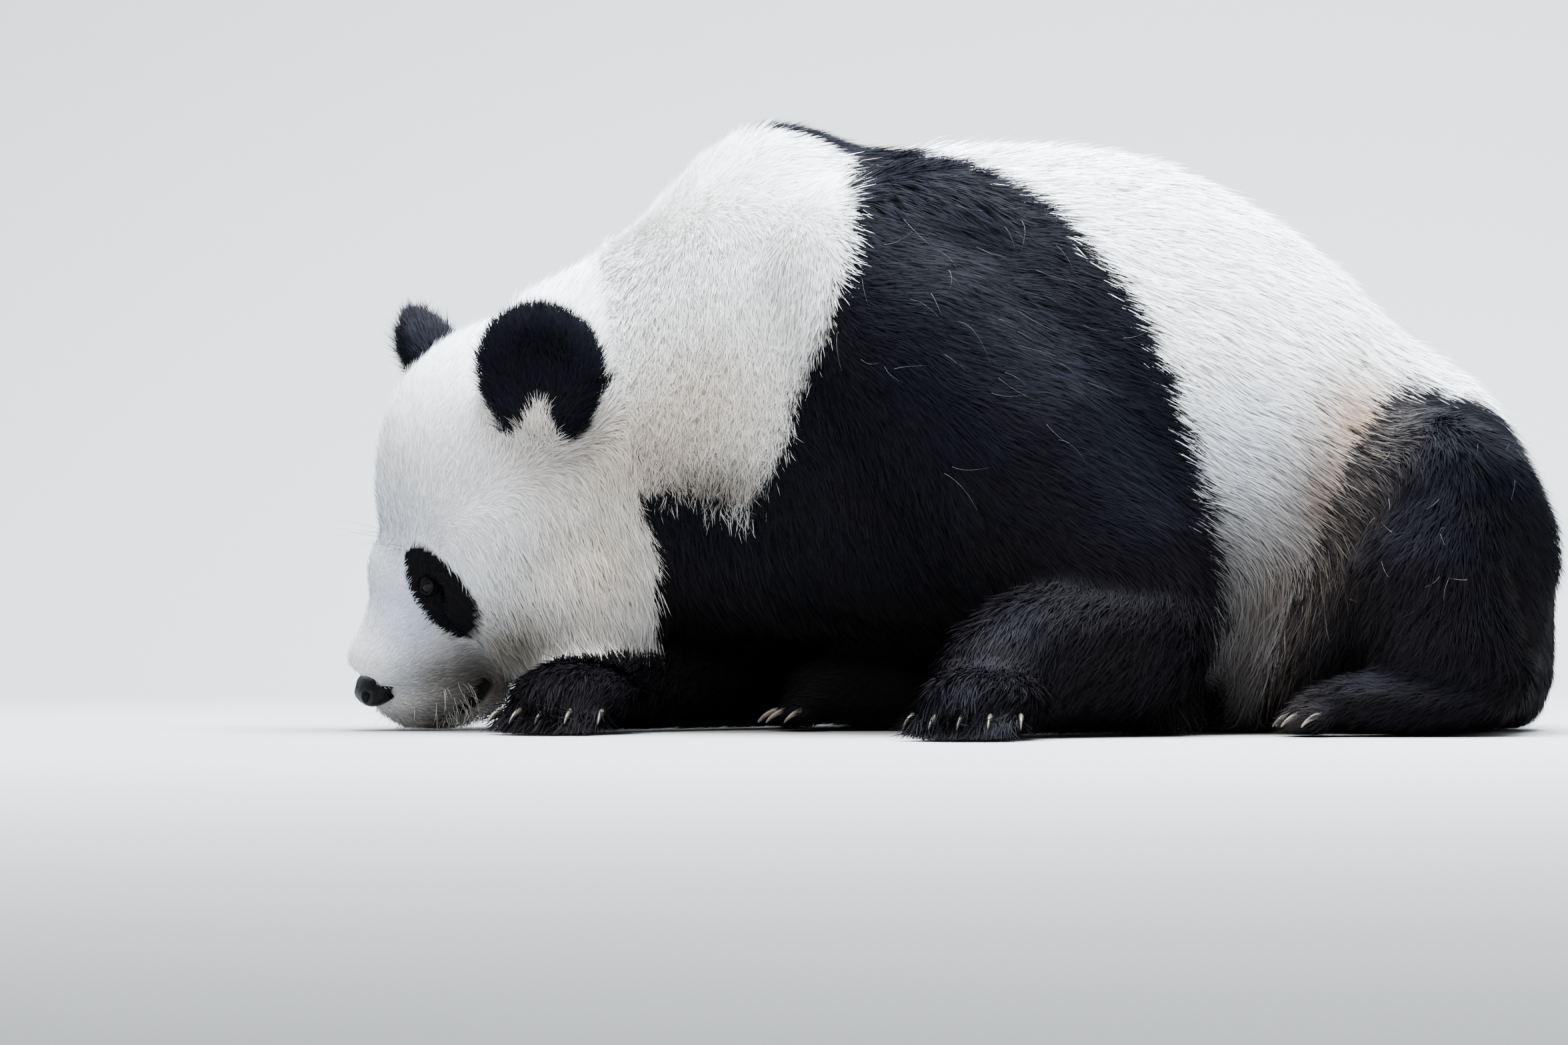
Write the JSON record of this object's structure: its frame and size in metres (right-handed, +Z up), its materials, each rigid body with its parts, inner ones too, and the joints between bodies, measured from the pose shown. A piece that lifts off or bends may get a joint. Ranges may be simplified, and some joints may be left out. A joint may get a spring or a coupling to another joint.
{
  "type": "giant panda",
  "caption": "Life-size still giant panda crouched low, head lowered over one foreleg, with black and white fur, for display on a floor.",
  "frame": {"origin": "middle of the box on the floor, under the panda's belly", "axes": "+Z up; the panda faces -X and its left side is toward -Y"},
  "size_m": [1.187, 0.8684, 0.5924],
  "materials": {
    "white_fur": "soft dense fur",
    "black_fur": "soft dense fur",
    "eye": "wet gloss",
    "nose_leather": "pebbled, moist",
    "claw_horn": "smooth horn"
  },
  "bodies": {
    "root": {"head": "white_fur", "jaw": "white_fur", "neck": "white_fur", "belly": "white_fur", "rump": "white_fur", "tail": "white_fur", "shoulder_left": "black_fur", "shoulder_right": "black_fur", "chest": "black_fur", "thigh_left": "black_fur", "thigh_right": "black_fur", "foreleg_left": "black_fur", "foreleg_right": "black_fur", "forepaw_left": "black_fur", "forepaw_right": "black_fur", "hindleg_left": "black_fur", "hindleg_right": "black_fur", "hindfoot_left": "black_fur", "hindfoot_right": "black_fur", "ear_left": "black_fur", "ear_right": "black_fur", "eye_left": "eye", "eye_right": "eye", "nose": "nose_leather", "claw_forepaw_left_1": "claw_horn", "claw_forepaw_left_2": "claw_horn", "claw_forepaw_left_3": "claw_horn", "claw_forepaw_left_4": "claw_horn", "claw_forepaw_left_5": "claw_horn", "claw_forepaw_right_1": "claw_horn", "claw_forepaw_right_2": "claw_horn", "claw_forepaw_right_3": "claw_horn", "claw_forepaw_right_4": "claw_horn", "claw_forepaw_right_5": "claw_horn", "claw_hindfoot_left_1": "claw_horn", "claw_hindfoot_left_2": "claw_horn", "claw_hindfoot_left_3": "claw_horn", "claw_hindfoot_left_4": "claw_horn", "claw_hindfoot_left_5": "claw_horn", "claw_hindfoot_right_1": "claw_horn", "claw_hindfoot_right_2": "claw_horn", "claw_hindfoot_right_3": "claw_horn", "claw_hindfoot_right_4": "claw_horn", "claw_hindfoot_right_5": "claw_horn"}
  },
  "joints": []
}
